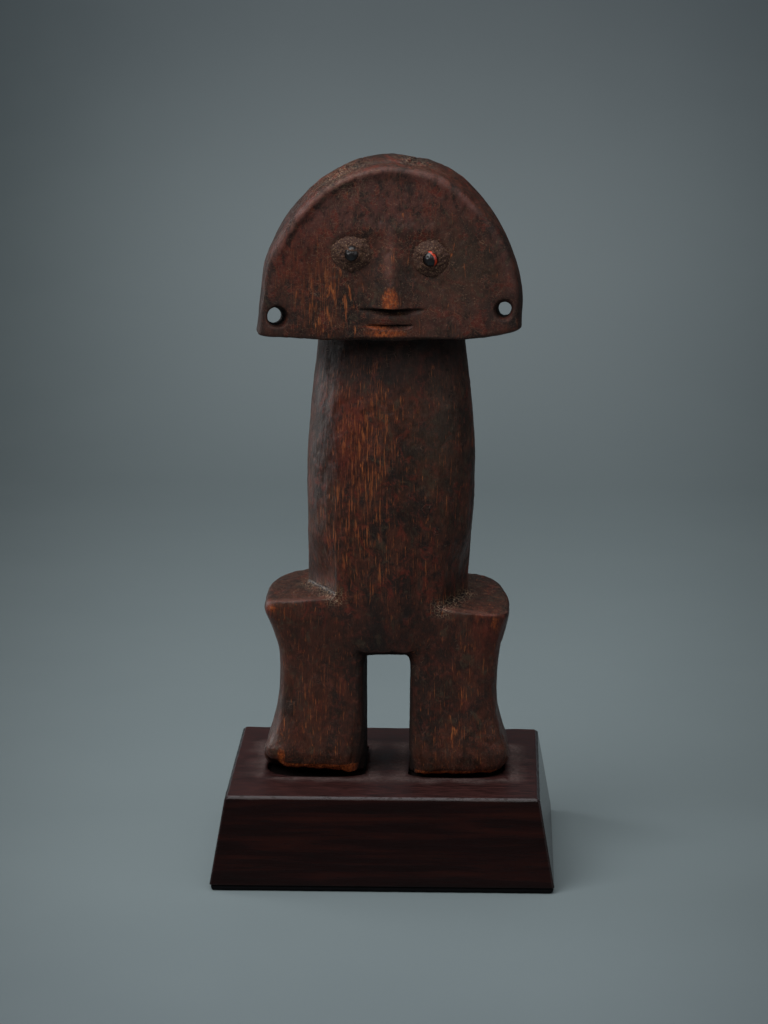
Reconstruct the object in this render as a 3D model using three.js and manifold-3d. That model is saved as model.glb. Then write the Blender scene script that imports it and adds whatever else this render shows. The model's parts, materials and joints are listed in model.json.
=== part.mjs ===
// A carved wooden fertility doll with inset seed eyes, lifted on and off two steel pins of a display base.
// Millimetres, +Z up, the face looks along -Y. The origin is the centre of the base's underside.

import Module from 'manifold-3d';
import * as THREE from 'three';
import { ParametricGeometry } from 'three/addons/geometries/ParametricGeometry.js';
import { mergeVertices } from 'three/addons/utils/BufferGeometryUtils.js';

// Driving dimensions of the stand.
const FELT_THICKNESS = 2;
const FELT_INSET = 0.5;
const BASE_HEIGHT = 30; // felt included
const BASE_TOP_WIDTH = 100;
const BASE_TOP_DEPTH = 83.6;
const BASE_SPLAY = 4.85; // how far each side runs out from top to bottom
const BASE_EDGE = 0.9; // chamfer round the top
const BASE_CORNER = 0.012; // how much of each upright corner is cut off, as a share of the half-width
const RECESS_DEPTH = 1.5; // each foot stands in a shallow recess
const RECESS_MARGIN = 1.2; // measured at the sole; the foot is a little wider where the recess ends
const RECESS_INNER_MARGIN = 0.5; // between the legs, whose sides are upright there
const PIN_RADIUS = 1.5;
const PIN_IN_BASE = 16;
const PIN_IN_FOOT = 22;
const PIN_TIP = 0.6;
const BORE_TIP = 0.6; // depth of the cone that the drill leaves at the end of a pin's bore
const CLEARANCE = 0.3; // between pieces that touch
const PIN_X = [-22, 22.5]; // left and right foot
const PIN_Y = -1;

// Driving dimensions of the figure, measured from the top of the base.
const SOLE = CLEARANCE - RECESS_DEPTH;
const LEG_GAP = { left: -6.7, right: 7.9, top: 40, front: 18.6, back: -16.4, edge: 4 };
const LEG_GAP_TOE = 9; // how much further than the sole the gap's cutter reaches down
const HEAD_CENTRE_X = 2.1;
const HEAD_WIDEST_Z = 150;
const HEAD_HALF_WIDTH = 41.85;
const CROWN_RISE = 51.3;
const JAW_DROP = 6;
const NAPE_RISE = 7; // the domed back of the head gathers this much higher than the widest line
const CROWN_BACKSET = 6; // the crown's rim is this much thicker than the rim at the ears
const CROWN_ROUNDNESS = { left: 1.95, right: 2.04 }; // superellipse exponents of the outline
const JAW_ROUNDNESS = 11;
const JAW_LIFT = { left: 0.14, right: 0.52 }; // share of the jaw's drop that is lost at each corner
const EAR_HOLES = [
  { name: 'left', x: -33.2, z: 151.8 },
  { name: 'right', x: 37.7, z: 154.4 },
];
const EAR_HOLE_RADIUS = 3.1;
const EAR_HOLE_FLARE = { face: 0.7, back: 1.4 };
const EAR_HOLE_NECK = { back: 14, face: 26 }; // distances in front of the axis between which it is straight
const EAR_HOLE_BACK_FLARE_START = 10;
const EYES = [
  { name: 'left', x: -9.9, z: 171.9 },
  { name: 'right', x: 14.7, z: 170.5 },
];
const FACE_FORWARD = 28.4; // the face's distance in front of the figure's axis
const SOCKET_RADIUS = 5.2;
const SOCKET_DEPTH = 3.6;
const RESIN_PROUD = 1.2;
const RESIN_BEVEL = { width: 1.2, height: 0.9 }; // round the collar's outer edge
const SEAT_FLOOR = { share: 0.75, rise: 0.9 }; // the seat tapers to this share of its width at its floor
const SEED_RADIUS = 2.6;
const SEED_HALF_LENGTH = 3.1;
const SEED_FORWARD = 0.7; // the seed's middle stands this far in front of the face
const TORSO_ROUNDNESS = 2.15; // superellipse exponents: 2 is an ellipse, higher is squarer
const HIPS_ROUNDNESS = 7;
const LEG_GAP_ROUNDNESS = 12;

// [height, left, right, front, back] of the column that is both neck and trunk.
const TORSO = [
  [28, -22, 23, -17, 13],
  [46, -25, 26, -22, 17.5],
  [64, -25.4, 26.8, -23.4, 18.6],
  [95, -25.6, 28.9, -24.6, 19.4],
  [118, -24.6, 28.2, -23.6, 18.8],
  [140, -21.8, 25.4, -21.4, 17.4],
  [152, -20.2, 23.6, -19, 15.5],
  [162, -15, 18, -12, 10],
];
// The same five numbers for the block of hips, legs and feet, before the gap between the legs is cut.
const HIPS = [
  [SOLE, -38, 38.2, -18, 16.6], // the recesses in the base follow this one
  [2.4, -40.2, 40.5, -20, 18.2],
  [11, -38, 38.2, -19.6, 17.4],
  [20, -35.6, 36, -18.8, 16.6],
  [31, -34.4, 36, -18.3, 16.2],
  [41, -34.7, 37, -18.6, 16.6],
  [49, -37.5, 39.5, -19.5, 17.6],
  [54, -39.2, 40.2, -19.7, 17.8],
  [57, -38.8, 39, -19.6, 17.6],
  [59.5, -37, 35.4, -19.2, 16.4],
  [62.5, -32, 30.5, -18, 14.5],
];
// The hips end in a sloping shelf on each side of the torso: [x, height] where its front edge meets
// the torso, then its fall outwards and its rise backwards, in degrees.
const SHELVES = [
  [-19, 59.6, 6, 4.5],
  [19, 56.2, 8, 6.5],
];
const SHELF_FRONT = -18.5;
// [height, left, right, front, back] of the nose, which stands on the face.
const NOSE = [
  [154.4, -0.7, 5.5, -32.2, -25],
  [157, -0.6, 5.4, -32.1, -25],
  [165, 0.1, 4.7, -31, -25],
  [173, 0.7, 4.1, -29.9, -25],
  [181, 1.1, 3.7, -28.2, -25],
];
// [width, height, height above the base] of the two slits of the mouth.
const MOUTH = [
  [18, 2.2, 153.2],
  [13.6, 2.4, 148.4],
];
const MOUTH_DEPTH = 1.6;
const MOUTH_X = 2.3;

// The back of the head is a dome from HEAD_BACK behind the axis to where the straight rim starts.
const HEAD_BACK = 19;
const HEAD_BACK_RINGS = 8;
const DOME_END = { forward: 14.5, scale: 0.93 };
const DOME_FULLNESS = 1.8;
// [distance in front of the axis, scale of the outline's sides, scale of its crown], back to front.
const HEAD_RIM = [
  [14, 0.96, 0.96],
  [15, 0.98, 0.98],
  [17, 0.996, 0.998],
  [20, 1, 0.99],
  [24.5, 0.987, 0.961],
  [26.6, 0.976, 0.948],
  [27.6, 0.958, 0.93],
  [28, 0.925, 0.9],
  [28.5, 0.5, 0.5],
];
const HEAD_SIDES = 68;

const BEYOND = 8; // how far a cutting tool reaches outside the wood that it cuts

const wasm = await Module();
wasm.setup();

// Manifold wants shared vertices, and no triangle that has shrunk to a line at a pole.
function toSolid(geometry) {
  const bare = geometry.clone();
  bare.deleteAttribute('normal');
  bare.deleteAttribute('uv');
  const merged = mergeVertices(bare, 1e-4);
  const index = Array.from(merged.index.array);
  const triangles = [];
  for (let i = 0; i < index.length; i += 3) {
    const [a, b, c] = index.slice(i, i + 3);
    if (a !== b && b !== c && c !== a) triangles.push(a, b, c);
  }
  return new wasm.Manifold(new wasm.Mesh({
    numProp: 3,
    vertProperties: new Float32Array(merged.attributes.position.array),
    triVerts: new Uint32Array(triangles),
  }));
}

function toGeometry(solid) {
  const mesh = solid.getMesh();
  const geometry = new THREE.BufferGeometry();
  geometry.setAttribute('position', new THREE.BufferAttribute(mesh.vertProperties, 3));
  geometry.setIndex(new THREE.BufferAttribute(mesh.triVerts, 1));
  return geometry;
}

function join(geometries) {
  return geometries.map(toSolid).reduce((whole, piece) => whole.add(piece));
}

function cut(solid, geometries) {
  return geometries.map(toSolid).reduce((whole, tool) => whole.subtract(tool), solid);
}

// A superellipse is a rounded box: exponent 2 is an ellipse, and a higher one squares its corners.
function roundedPower(value, exponent) {
  return Math.sign(value) * Math.abs(value) ** (2 / exponent);
}

function superellipse(exponent, sides) {
  return Array.from({ length: sides }, (_, i) => {
    const angle = (2 * Math.PI * i) / sides;
    return new THREE.Vector2(
      roundedPower(Math.cos(angle), exponent),
      roundedPower(Math.sin(angle), exponent),
    );
  });
}

// A square whose corners are cut off by a small fraction of its half-width.
function softSquare(fraction) {
  const near = 1 - fraction;
  const quarter = [new THREE.Vector2(1, near), new THREE.Vector2(near, 1)];
  const origin = new THREE.Vector2();
  return [0, 1, 2, 3].flatMap((turn) => (
    quarter.map((point) => point.clone().rotateAround(origin, (turn * Math.PI) / 2))
  ));
}

// Closes a stack of equal rings of Vector3 into one body, with a point in the middle of each end.
function skin(rings) {
  const centre = (ring) => ring
    .reduce((sum, point) => sum.add(point), new THREE.Vector3())
    .divideScalar(ring.length);
  const stacks = rings.length + 1;
  const sides = rings[0].length;
  const ends = [centre(rings[0]), centre(rings[rings.length - 1])];
  return new ParametricGeometry((u, v, target) => {
    const row = Math.round(v * stacks);
    const side = Math.round(u * sides) % sides;
    if (row === 0) target.copy(ends[0]);
    else if (row === stacks) target.copy(ends[1]);
    else target.copy(rings[row - 1][side]);
  }, sides, stacks);
}

// Stations between those given, on a smooth curve through each of their columns.
function smoothStations(stations, count) {
  const columns = [1, 2, 3, 4].map((column) => (
    new THREE.SplineCurve(stations.map((row) => new THREE.Vector2(row[0], row[column])))
  ));
  return Array.from({ length: count }, (_, i) => {
    const points = columns.map((curve) => curve.getPoint(i / (count - 1)));
    return [points[0].x, ...points.map((point) => point.y)];
  });
}

// Each station stretches the unit outline over its own box.
function loft(stations, outline) {
  return skin(stations.map(([height, left, right, front, back]) => (
    outline.map((point) => new THREE.Vector3(
      (left + right) / 2 + (point.x * (right - left)) / 2,
      (front + back) / 2 + (point.y * (back - front)) / 2,
      height,
    ))
  )));
}

// Turns a body that grows along +Z, with +Y up, so that it grows along -Y, with +Z up.
function faceFront(geometry) {
  return geometry.rotateX(Math.PI / 2);
}

// A turned body on a horizontal axis: the profile is [radius, distance forward].
function turnedForward(profile, sides, x, z) {
  const points = profile.map(([radius, forward]) => new THREE.Vector2(radius, forward));
  return new THREE.LatheGeometry(points, sides).rotateX(Math.PI).translate(x, 0, z);
}

function turnedUpright(profile, sides, x, y) {
  const points = profile.map(([radius, height]) => new THREE.Vector2(radius, height));
  return new THREE.LatheGeometry(points, sides).rotateX(Math.PI / 2).translate(x, y, 0);
}

// The head is a half disc: a wide crown above its widest line and a flat jaw below it.
function headRing([forward, sideScale, crownScale]) {
  const gather = NAPE_RISE * (1 - crownScale) * (forward < 0 ? 1 : 0.5);
  return Array.from({ length: HEAD_SIDES }, (_, i) => {
    const angle = (2 * Math.PI * i) / HEAD_SIDES;
    const above = Math.sin(angle) >= 0;
    const side = Math.cos(angle) > 0 ? 'right' : 'left';
    const exponent = above ? CROWN_ROUNDNESS[side] : JAW_ROUNDNESS;
    const across = roundedPower(Math.cos(angle), exponent);
    const up = roundedPower(Math.sin(angle), exponent);
    const drop = JAW_DROP * sideScale * (1 - JAW_LIFT[side] * Math.abs(across) ** 4);
    const rise = up * (above ? CROWN_RISE * crownScale : drop);
    const backset = CROWN_BACKSET * Math.max(up, 0) * THREE.MathUtils.smoothstep(25 - forward, 0, 9);
    return new THREE.Vector3(
      HEAD_CENTRE_X + across * HEAD_HALF_WIDTH * sideScale,
      HEAD_WIDEST_Z + gather + rise,
      forward - backset * sideScale,
    );
  });
}

function headGeometry() {
  const dome = Array.from({ length: HEAD_BACK_RINGS }, (_, i) => {
    const scale = (DOME_END.scale * (i + 1)) / HEAD_BACK_RINGS;
    const depth = (HEAD_BACK + DOME_END.forward) * (1 - scale ** 2) ** DOME_FULLNESS;
    return [DOME_END.forward - depth, scale, scale];
  });
  return faceFront(skin([...dome, ...HEAD_RIM].map(headRing)));
}

// The gap's edges are rounded where it opens at the front and at the back of the legs.
function legGapGeometry() {
  const { left, right, top, front, back, edge } = LEG_GAP;
  const arc = [0, 30, 60, 90].map((degrees) => THREE.MathUtils.degToRad(degrees));
  const opening = arc.map((angle) => [edge * (1 - Math.sin(angle)), edge * (1 - Math.cos(angle))]);
  const depths = [
    [back - BEYOND, edge],
    ...opening.map(([inward, grow]) => [back + inward, grow]).reverse(),
    ...opening.map(([inward, grow]) => [front - inward, grow]),
    [front + BEYOND, edge],
  ].sort((a, b) => a[0] - b[0]);
  const stations = depths.map(([forward, grow]) => (
    [forward, left - grow, right + grow, SOLE - LEG_GAP_TOE, top + grow / 2]
  ));
  return faceFront(loft(stations, superellipse(LEG_GAP_ROUNDNESS, 40)));
}

function mouthSlit([width, height, z]) {
  const slit = new THREE.Shape();
  slit.moveTo(-width / 2, 0);
  slit.quadraticCurveTo(0, -height, width / 2, 0);
  slit.quadraticCurveTo(0, height, -width / 2, 0);
  const depth = 3 * MOUTH_DEPTH;
  const body = new THREE.ExtrudeGeometry(slit, { depth, bevelEnabled: false, curveSegments: 5 });
  return faceFront(body.translate(0, 0, FACE_FORWARD - MOUTH_DEPTH)).translate(MOUTH_X, 0, z);
}

// A bore through the head, opened out where it meets both faces.
function earHole({ x, z }) {
  const r = EAR_HOLE_RADIUS;
  const back = r + EAR_HOLE_FLARE.back;
  const face = r + EAR_HOLE_FLARE.face;
  const out = FACE_FORWARD + BEYOND;
  return turnedForward([
    [0, 0], [back, 0], [back, EAR_HOLE_BACK_FLARE_START], [r, EAR_HOLE_NECK.back],
    [r, EAR_HOLE_NECK.face], [face, FACE_FORWARD], [face, out], [0, out],
  ], 24, x, z);
}

function eyeSocket({ x, z }) {
  const floor = FACE_FORWARD - SOCKET_DEPTH;
  const out = FACE_FORWARD + BEYOND;
  return turnedForward([[0, floor], [SOCKET_RADIUS, floor], [SOCKET_RADIUS, out], [0, out]], 28, x, z);
}

function footBore(x) {
  const radius = PIN_RADIUS + CLEARANCE;
  const top = PIN_IN_FOOT + 2 * CLEARANCE;
  const bottom = SOLE - BEYOND;
  return turnedUpright([[0, bottom], [radius, bottom], [radius, top], [0, top + BORE_TIP]], 20, x, PIN_Y);
}

// Everything above a shelf is cut away as one tilted block, whose bottom face is the shelf.
function shelfCut([x, height, fall, rise]) {
  const side = Math.sign(x);
  const size = 70;
  const spare = 10; // the block starts this far inside the torso and in front of the hips
  const block = new THREE.BoxGeometry(size, size, size);
  block.translate(side * (size / 2 - spare), size / 2 - spare, size / 2);
  block.rotateX(THREE.MathUtils.degToRad(rise)).rotateY(THREE.MathUtils.degToRad(side * fall));
  return block.translate(x, SHELF_FRONT, height);
}

function hipsAndLegs() {
  const block = toSolid(loft(smoothStations(HIPS, 15), superellipse(HIPS_ROUNDNESS, 52)));
  return cut(block, SHELVES.map(shelfCut));
}

function carvedFigure() {
  const body = join([
    loft(smoothStations(TORSO, 11), superellipse(TORSO_ROUNDNESS, 40)),
    headGeometry(),
    loft(smoothStations(NOSE, 6), superellipse(2, 16)),
  ]).add(hipsAndLegs());
  return toGeometry(cut(body, [
    legGapGeometry(),
    ...EAR_HOLES.map(earHole),
    ...EYES.map(eyeSocket),
    ...MOUTH.map(mouthSlit),
    ...PIN_X.map(footBore),
  ]));
}

// Dark gum that beds each seed in its socket and stands up round it as a rough collar.
function eyeResin({ x, z }) {
  const outer = SOCKET_RADIUS - CLEARANCE;
  const floor = FACE_FORWARD - SOCKET_DEPTH + CLEARANCE;
  const seat = SEED_RADIUS + CLEARANCE;
  const middle = FACE_FORWARD + SEED_FORWARD;
  const seatFloor = middle - SEED_HALF_LENGTH - CLEARANCE;
  const rim = FACE_FORWARD + RESIN_PROUD;
  return turnedForward([
    [0, floor], [outer, floor], [outer, rim - RESIN_BEVEL.height],
    [outer - RESIN_BEVEL.width, rim], [seat, rim - CLEARANCE], [seat, middle],
    [seat * SEAT_FLOOR.share, seatFloor + SEAT_FLOOR.rise], [0, seatFloor],
  ], 28, x, z);
}

function eyeSeed({ x, z }) {
  return new THREE.SphereGeometry(SEED_RADIUS, 20, 12)
    .scale(1, SEED_HALF_LENGTH / SEED_RADIUS, 1)
    .translate(x, -(FACE_FORWARD + SEED_FORWARD), z);
}

// A rectangle of the base, grown or shrunk by the same amount on all four sides.
function baseStation(height, grow) {
  const x = BASE_TOP_WIDTH / 2 + grow;
  const y = BASE_TOP_DEPTH / 2 + grow;
  return [height, -x, x, -y, y];
}

// Both recesses: the outline of the soles grown by the margin, without the strip between the legs.
function footRecesses() {
  const [, left, right, front, back] = HIPS[0];
  const m = RECESS_MARGIN;
  const heights = [BASE_HEIGHT - RECESS_DEPTH, BASE_HEIGHT + BEYOND];
  const grown = heights.map((z) => [z, left - m, right + m, front - m, back + m]);
  const soles = toSolid(loft(grown, superellipse(HIPS_ROUNDNESS, 52)));
  const stripLeft = LEG_GAP.left + RECESS_INNER_MARGIN;
  const stripRight = LEG_GAP.right - RECESS_INNER_MARGIN;
  const strip = heights.map((z) => [z, stripLeft, stripRight, front - BEYOND, back + BEYOND]);
  return soles.subtract(toSolid(loft(strip, softSquare(BASE_CORNER))));
}

function pinBore(x) {
  const radius = PIN_RADIUS + CLEARANCE;
  const bottom = BASE_HEIGHT - RECESS_DEPTH - PIN_IN_BASE - CLEARANCE;
  const top = BASE_HEIGHT + BEYOND;
  return turnedUpright([[0, bottom - BORE_TIP], [radius, bottom], [radius, top], [0, top]], 20, x, PIN_Y);
}

function displayBase() {
  const block = toSolid(loft([
    baseStation(FELT_THICKNESS, BASE_SPLAY),
    baseStation(BASE_HEIGHT - BASE_EDGE, BASE_EDGE * BASE_SPLAY / (BASE_HEIGHT - FELT_THICKNESS)),
    baseStation(BASE_HEIGHT, -BASE_EDGE),
  ], softSquare(BASE_CORNER)));
  return toGeometry(cut(block.subtract(footRecesses()), PIN_X.map(pinBore)));
}

function mountPin(x) {
  const bottom = BASE_HEIGHT - RECESS_DEPTH - PIN_IN_BASE;
  const top = BASE_HEIGHT + PIN_IN_FOOT;
  const tip = PIN_RADIUS - PIN_TIP;
  return turnedUpright([
    [0, bottom], [tip, bottom], [PIN_RADIUS, bottom + PIN_TIP],
    [PIN_RADIUS, top - PIN_TIP], [tip, top], [0, top],
  ], 20, x, PIN_Y);
}

function feltPad() {
  const grow = BASE_SPLAY - FELT_INSET;
  return loft([baseStation(0, grow), baseStation(FELT_THICKNESS, grow)], softSquare(BASE_CORNER));
}

const finishes = {
  wood: { color: 0x3a2019, roughness: 0.5, metalness: 0 },
  resin: { color: 0x2b2119, roughness: 0.85, metalness: 0 },
  seed: { color: 0x120c0b, roughness: 0.2, metalness: 0 },
  base: { color: 0x24100e, roughness: 0.35, metalness: 0 },
  steel: { color: 0x8d8f90, roughness: 0.35, metalness: 1 },
  felt: { color: 0x0b0b0c, roughness: 0.95, metalness: 0 },
};

function piece(name, geometry, finish) {
  const mesh = new THREE.Mesh(geometry, new THREE.MeshStandardMaterial(finishes[finish]));
  mesh.name = name;
  return mesh;
}

const stand = new THREE.Group();
stand.add(piece('display_base', displayBase(), 'base'));
stand.add(piece('base_felt_pad', feltPad(), 'felt'));
stand.add(piece('mount_pin_left', mountPin(PIN_X[0]), 'steel'));
stand.add(piece('mount_pin_right', mountPin(PIN_X[1]), 'steel'));

const figure = new THREE.Group();
figure.position.z = BASE_HEIGHT;
figure.add(piece('carved_figure', carvedFigure(), 'wood'));
for (const eye of EYES) {
  figure.add(piece(`eye_resin_${eye.name}`, eyeResin(eye), 'resin'));
  figure.add(piece(`eye_seed_${eye.name}`, eyeSeed(eye), 'seed'));
}

const group = new THREE.Group();
group.add(stand, figure);
export default group;
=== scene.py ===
import json
import math

import bmesh
import bpy
import numpy as np
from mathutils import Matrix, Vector


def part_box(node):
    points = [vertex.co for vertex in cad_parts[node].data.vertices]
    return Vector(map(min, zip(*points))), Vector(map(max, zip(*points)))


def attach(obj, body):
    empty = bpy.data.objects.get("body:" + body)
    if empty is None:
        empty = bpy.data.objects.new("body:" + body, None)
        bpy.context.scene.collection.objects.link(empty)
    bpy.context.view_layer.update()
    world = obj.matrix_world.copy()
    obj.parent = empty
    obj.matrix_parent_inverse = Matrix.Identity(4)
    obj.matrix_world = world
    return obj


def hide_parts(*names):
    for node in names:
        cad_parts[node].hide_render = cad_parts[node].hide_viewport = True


# A carved fertility doll with seed eyes, on the pins of a dark wooden display base.
# Points are handled in millimetres from the middle of the base's top face, with the face looking
# along -Y, and go back to metres in the row frame when a mesh is written.

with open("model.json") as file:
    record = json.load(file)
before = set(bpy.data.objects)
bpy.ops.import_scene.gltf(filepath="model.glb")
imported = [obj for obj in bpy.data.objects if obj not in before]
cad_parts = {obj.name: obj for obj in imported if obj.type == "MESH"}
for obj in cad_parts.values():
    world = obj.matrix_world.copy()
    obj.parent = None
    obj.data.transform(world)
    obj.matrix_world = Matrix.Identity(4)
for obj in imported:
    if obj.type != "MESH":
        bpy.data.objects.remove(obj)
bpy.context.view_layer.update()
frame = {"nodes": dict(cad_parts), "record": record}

MM = 0.001
BASE_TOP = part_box("display_base")[1].z / MM
FIGURE_VOXEL = 0.55
OPENINGS = {hole["name"]: hole["box_m"] for hole in frame["record"]["physics"]["openings"]}


def to_local(point):
    """A point of the row frame, in metres, as millimetres from the middle of the base's top."""
    return np.array(point, float) / MM - (0, 0, BASE_TOP)


def local_box(node):
    """The lowest and the highest corner of a CAD node."""
    return [to_local(corner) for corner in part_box(node)]


def middle(low, high):
    return (to_local(low) + to_local(high)) / 2


EYES = {side: middle(*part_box(f"eye_seed_{side}")) for side in ("left", "right")}
EAR_HOLES = {side: middle(*OPENINGS[f"ear_hole_{side}"]) for side in ("left", "right")}
LEG_GAP_MIDDLE = middle(*OPENINGS["leg_gap"])[0]
SOLE = local_box("carved_figure")[0][2]
HEAD_MIDDLE_X, HEAD_WIDEST_Z = 2.1, 150
HEAD_HALF_WIDTH, CROWN_RISE = 41.85, 51.3
PIN_X, PIN_Y = 22.2, -1
FACE_Y = -28.4
NOSE_X = 2.5
NOSE_TOP, NOSE_BOTTOM = 181, 154.7
# The front edge of each hip's shelf, where it meets the torso and where it ends, and its height there.
SHELF_CREASES = {"left": ((-16.5, 59.8), (-38.5, 57.6)), "right": ((19, 56.3), (38, 53.6))}
SHELF_FRONT = -18.5
SHELF_RISE = {"left": 4.5, "right": 6.5}  # degrees, towards the back
# Where the torso's pared corner meets each shelf, from front to back, seen from above.
SHELF_ROOTS = {"left": ((-15, -20.5), (-25.5, -1)), "right": ((17.5, -20.5), (27, -1))}
EYE_HOLLOW_DEPTH = 0.7
EYE_HOLLOW_SIZE = (8.5, 6.5)
SOCKET_RIM = (5.1, 5.7)  # inside the first radius the face keeps its shape, outside the second it is worked


# ---- noise and masks

def gradient_noise(points, seed):
    """Smooth noise from about -1 to 1 at each row of points, one unit a cell."""
    draw = np.random.default_rng(seed)
    order = draw.permutation(256)
    gradients = draw.normal(size=(256, 3))
    gradients /= np.linalg.norm(gradients, axis=1)[:, None]
    cell = np.floor(points).astype(int)
    inside = points - cell
    fade = inside ** 3 * (inside * (inside * 6 - 15) + 10)
    total = np.zeros(len(points))
    for corner in np.ndindex(2, 2, 2):
        x, y, z = (cell + corner).T & 255
        pick = order[(order[(order[x] + y) & 255] + z) & 255]
        share = np.prod(np.where(corner, fade, 1 - fade), axis=1)
        total += share * np.einsum("ij,ij->i", gradients[pick], inside - corner)
    return total * 1.6


def layered_noise(points, size, seed, layers=3):
    """Noise whose largest bumps are size millimetres across, with finer layers on it."""
    total = np.zeros(len(points))
    for layer in range(layers):
        finer = 2.0 ** layer
        total += gradient_noise(points / np.array(size, float) * finer, seed + layer) / finer
    return total


def ease(value, start, end):
    """0 before start, 1 after end, smooth between; start may be above end."""
    t = np.clip((value - start) / (end - start), 0, 1)
    return t * t * (3 - 2 * t)


def blob(points, centre, size):
    """A soft spot, 1 at its centre, with size as its half-widths along X, Y and Z."""
    return np.exp(-np.sum(((points - np.array(centre)) / np.array(size, float)) ** 2, axis=1))


def bell(value, middle, width):
    """1 where value is middle, falling away over width on both sides."""
    return np.exp(-(((value - middle) / width) ** 2))


def spots(points, *wanted):
    """Soft spots added together, each given as its strength, its centre and its half-widths."""
    return sum(strength * blob(points, centre, size) for strength, centre, size in wanted)


def front_spot(points, x, z, half_width, half_height):
    """A soft spot as it is seen from the front, the same at every depth."""
    return blob(points * (1, 0, 1), (x, 0, z), (half_width, 1, half_height))


def polyline_distance(points, line):
    """How far each 2-D point lies from a line of 2-D points."""
    nearest = np.full(len(points), np.inf)
    for start, end in zip(np.array(line[:-1], float), np.array(line[1:], float)):
        along = end - start
        share = np.clip((points - start) @ along / (along @ along), 0, 1)
        nearest = np.minimum(nearest, np.linalg.norm(points - start - share[:, None] * along, axis=1))
    return nearest


# ---- meshes

class Clay:
    """A dense mesh whose points are worked as one array, in local millimetres."""

    def __init__(self, mesh):
        self.mesh = mesh
        count = len(mesh.vertices)
        flat = np.zeros(count * 3, np.float32)
        mesh.vertices.foreach_get("co", flat)
        self.points = to_local(flat.reshape(-1, 3))
        ends = np.zeros(len(mesh.edges) * 2, np.int32)
        mesh.edges.foreach_get("vertices", ends)
        self.a, self.b = ends.reshape(-1, 2).T
        self.degree = np.maximum(np.bincount(ends, minlength=count), 1)[:, None]

    def neighbours(self, values):
        """The mean of values over each point's neighbours."""
        count = len(values)
        sums = [
            np.bincount(self.a, values[self.b, k], count) + np.bincount(self.b, values[self.a, k], count)
            for k in range(values.shape[1])
        ]
        return np.stack(sums, axis=1) / self.degree

    def relax(self, steps, weight=1.0):
        share = 0.6 * np.broadcast_to(weight, len(self.points))[:, None]
        for _ in range(steps):
            self.points += share * (self.neighbours(self.points) - self.points)

    def normals(self):
        self.write()
        flat = np.zeros(len(self.points) * 3, np.float32)
        self.mesh.vertex_normals.foreach_get("vector", flat)
        return flat.reshape(-1, 3).astype(float)

    def push(self, depth):
        """Moves each point along its normal."""
        self.points += self.normals() * depth[:, None]

    def convexity(self, steps):
        """How far each point stands out of its smoothed surroundings, in millimetres."""
        smooth = self.points.copy()
        for _ in range(steps):
            smooth += 0.6 * (self.neighbours(smooth) - smooth)
        return np.einsum("ij,ij->i", self.points - smooth, self.normals())

    def paint(self, name, values):
        layer = self.mesh.attributes.new(name, "FLOAT", "POINT")
        layer.data.foreach_set("value", np.clip(values, 0, 1).astype(np.float32))

    def write(self):
        metres = (self.points + (0, 0, BASE_TOP)) * MM
        self.mesh.vertices.foreach_set("co", metres.astype(np.float32).ravel())
        self.mesh.update()


def new_object(name, mesh):
    obj = bpy.data.objects.new(name, mesh)
    bpy.context.scene.collection.objects.link(obj)
    return obj


def evaluated_mesh(obj, name):
    """The object's mesh with its modifiers applied, as a new mesh; the object is removed."""
    graph = bpy.context.evaluated_depsgraph_get()
    mesh = bpy.data.meshes.new_from_object(obj.evaluated_get(graph), depsgraph=graph)
    mesh.name = name
    bpy.data.objects.remove(obj)
    return mesh


def remeshed(name, source, voxel):
    """A copy of a mesh as an even net of small quads, voxel millimetres across."""
    obj = new_object(name + "_rough", source.copy())
    remesh = obj.modifiers.new("even", "REMESH")
    remesh.mode = "VOXEL"
    remesh.voxel_size = voxel * MM
    return evaluated_mesh(obj, name)


def refined(mesh, chosen):
    """Halves the quads whose middle is inside chosen(points in local millimetres)."""
    bm = bmesh.new()
    bm.from_mesh(mesh)
    centres = to_local([face.calc_center_median() for face in bm.faces])
    faces = [face for face, keep in zip(bm.faces, chosen(centres)) if keep]
    edges = list({edge for face in faces for edge in face.edges})
    bmesh.ops.subdivide_edges(bm, edges=edges, cuts=1, use_grid_fill=True)
    bmesh.ops.triangulate(bm, faces=[face for face in bm.faces if len(face.verts) > 4])
    bm.to_mesh(mesh)
    bm.free()
    return mesh


def bridge(bm, rings, sides):
    """Faces between each ring of points and the next, where a ring of one point closes an end."""
    for low, high in zip(rings, rings[1:]):
        for turn in range(sides):
            corners = [low[turn % len(low)], low[(turn + 1) % len(low)]]
            corners += [high[(turn + 1) % len(high)], high[turn % len(high)]]
            bm.faces.new(list(dict.fromkeys(corners)))
    bmesh.ops.recalc_face_normals(bm, faces=bm.faces)


def mesh_from(bm, name):
    mesh = bpy.data.meshes.new(name)
    bm.to_mesh(mesh)
    bm.free()
    return mesh


def lathe_mesh(name, profile, sides, centre):
    """A closed turned body. The profile is [radius, height] from axis to axis, in local millimetres."""
    bm = bmesh.new()
    rings = []
    for radius, height in profile:
        turns = range(sides) if radius > 0 else range(1)
        ring = []
        for turn in turns:
            angle = 2 * math.pi * turn / sides
            offset = (radius * math.cos(angle), radius * math.sin(angle), height + BASE_TOP)
            ring.append(bm.verts.new((np.array(centre) + offset) * MM))
        rings.append(ring)
    bridge(bm, rings, sides)
    return mesh_from(bm, name)


def finished_piece(name, mesh, material, body, node):
    """Shows a mesh in place of the CAD node it stands for."""
    mesh.materials.clear()
    mesh.materials.append(material)
    mesh.shade_smooth()
    obj = new_object(name, mesh)
    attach(obj, body)
    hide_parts(node)


# ---- shader nodes

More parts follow.
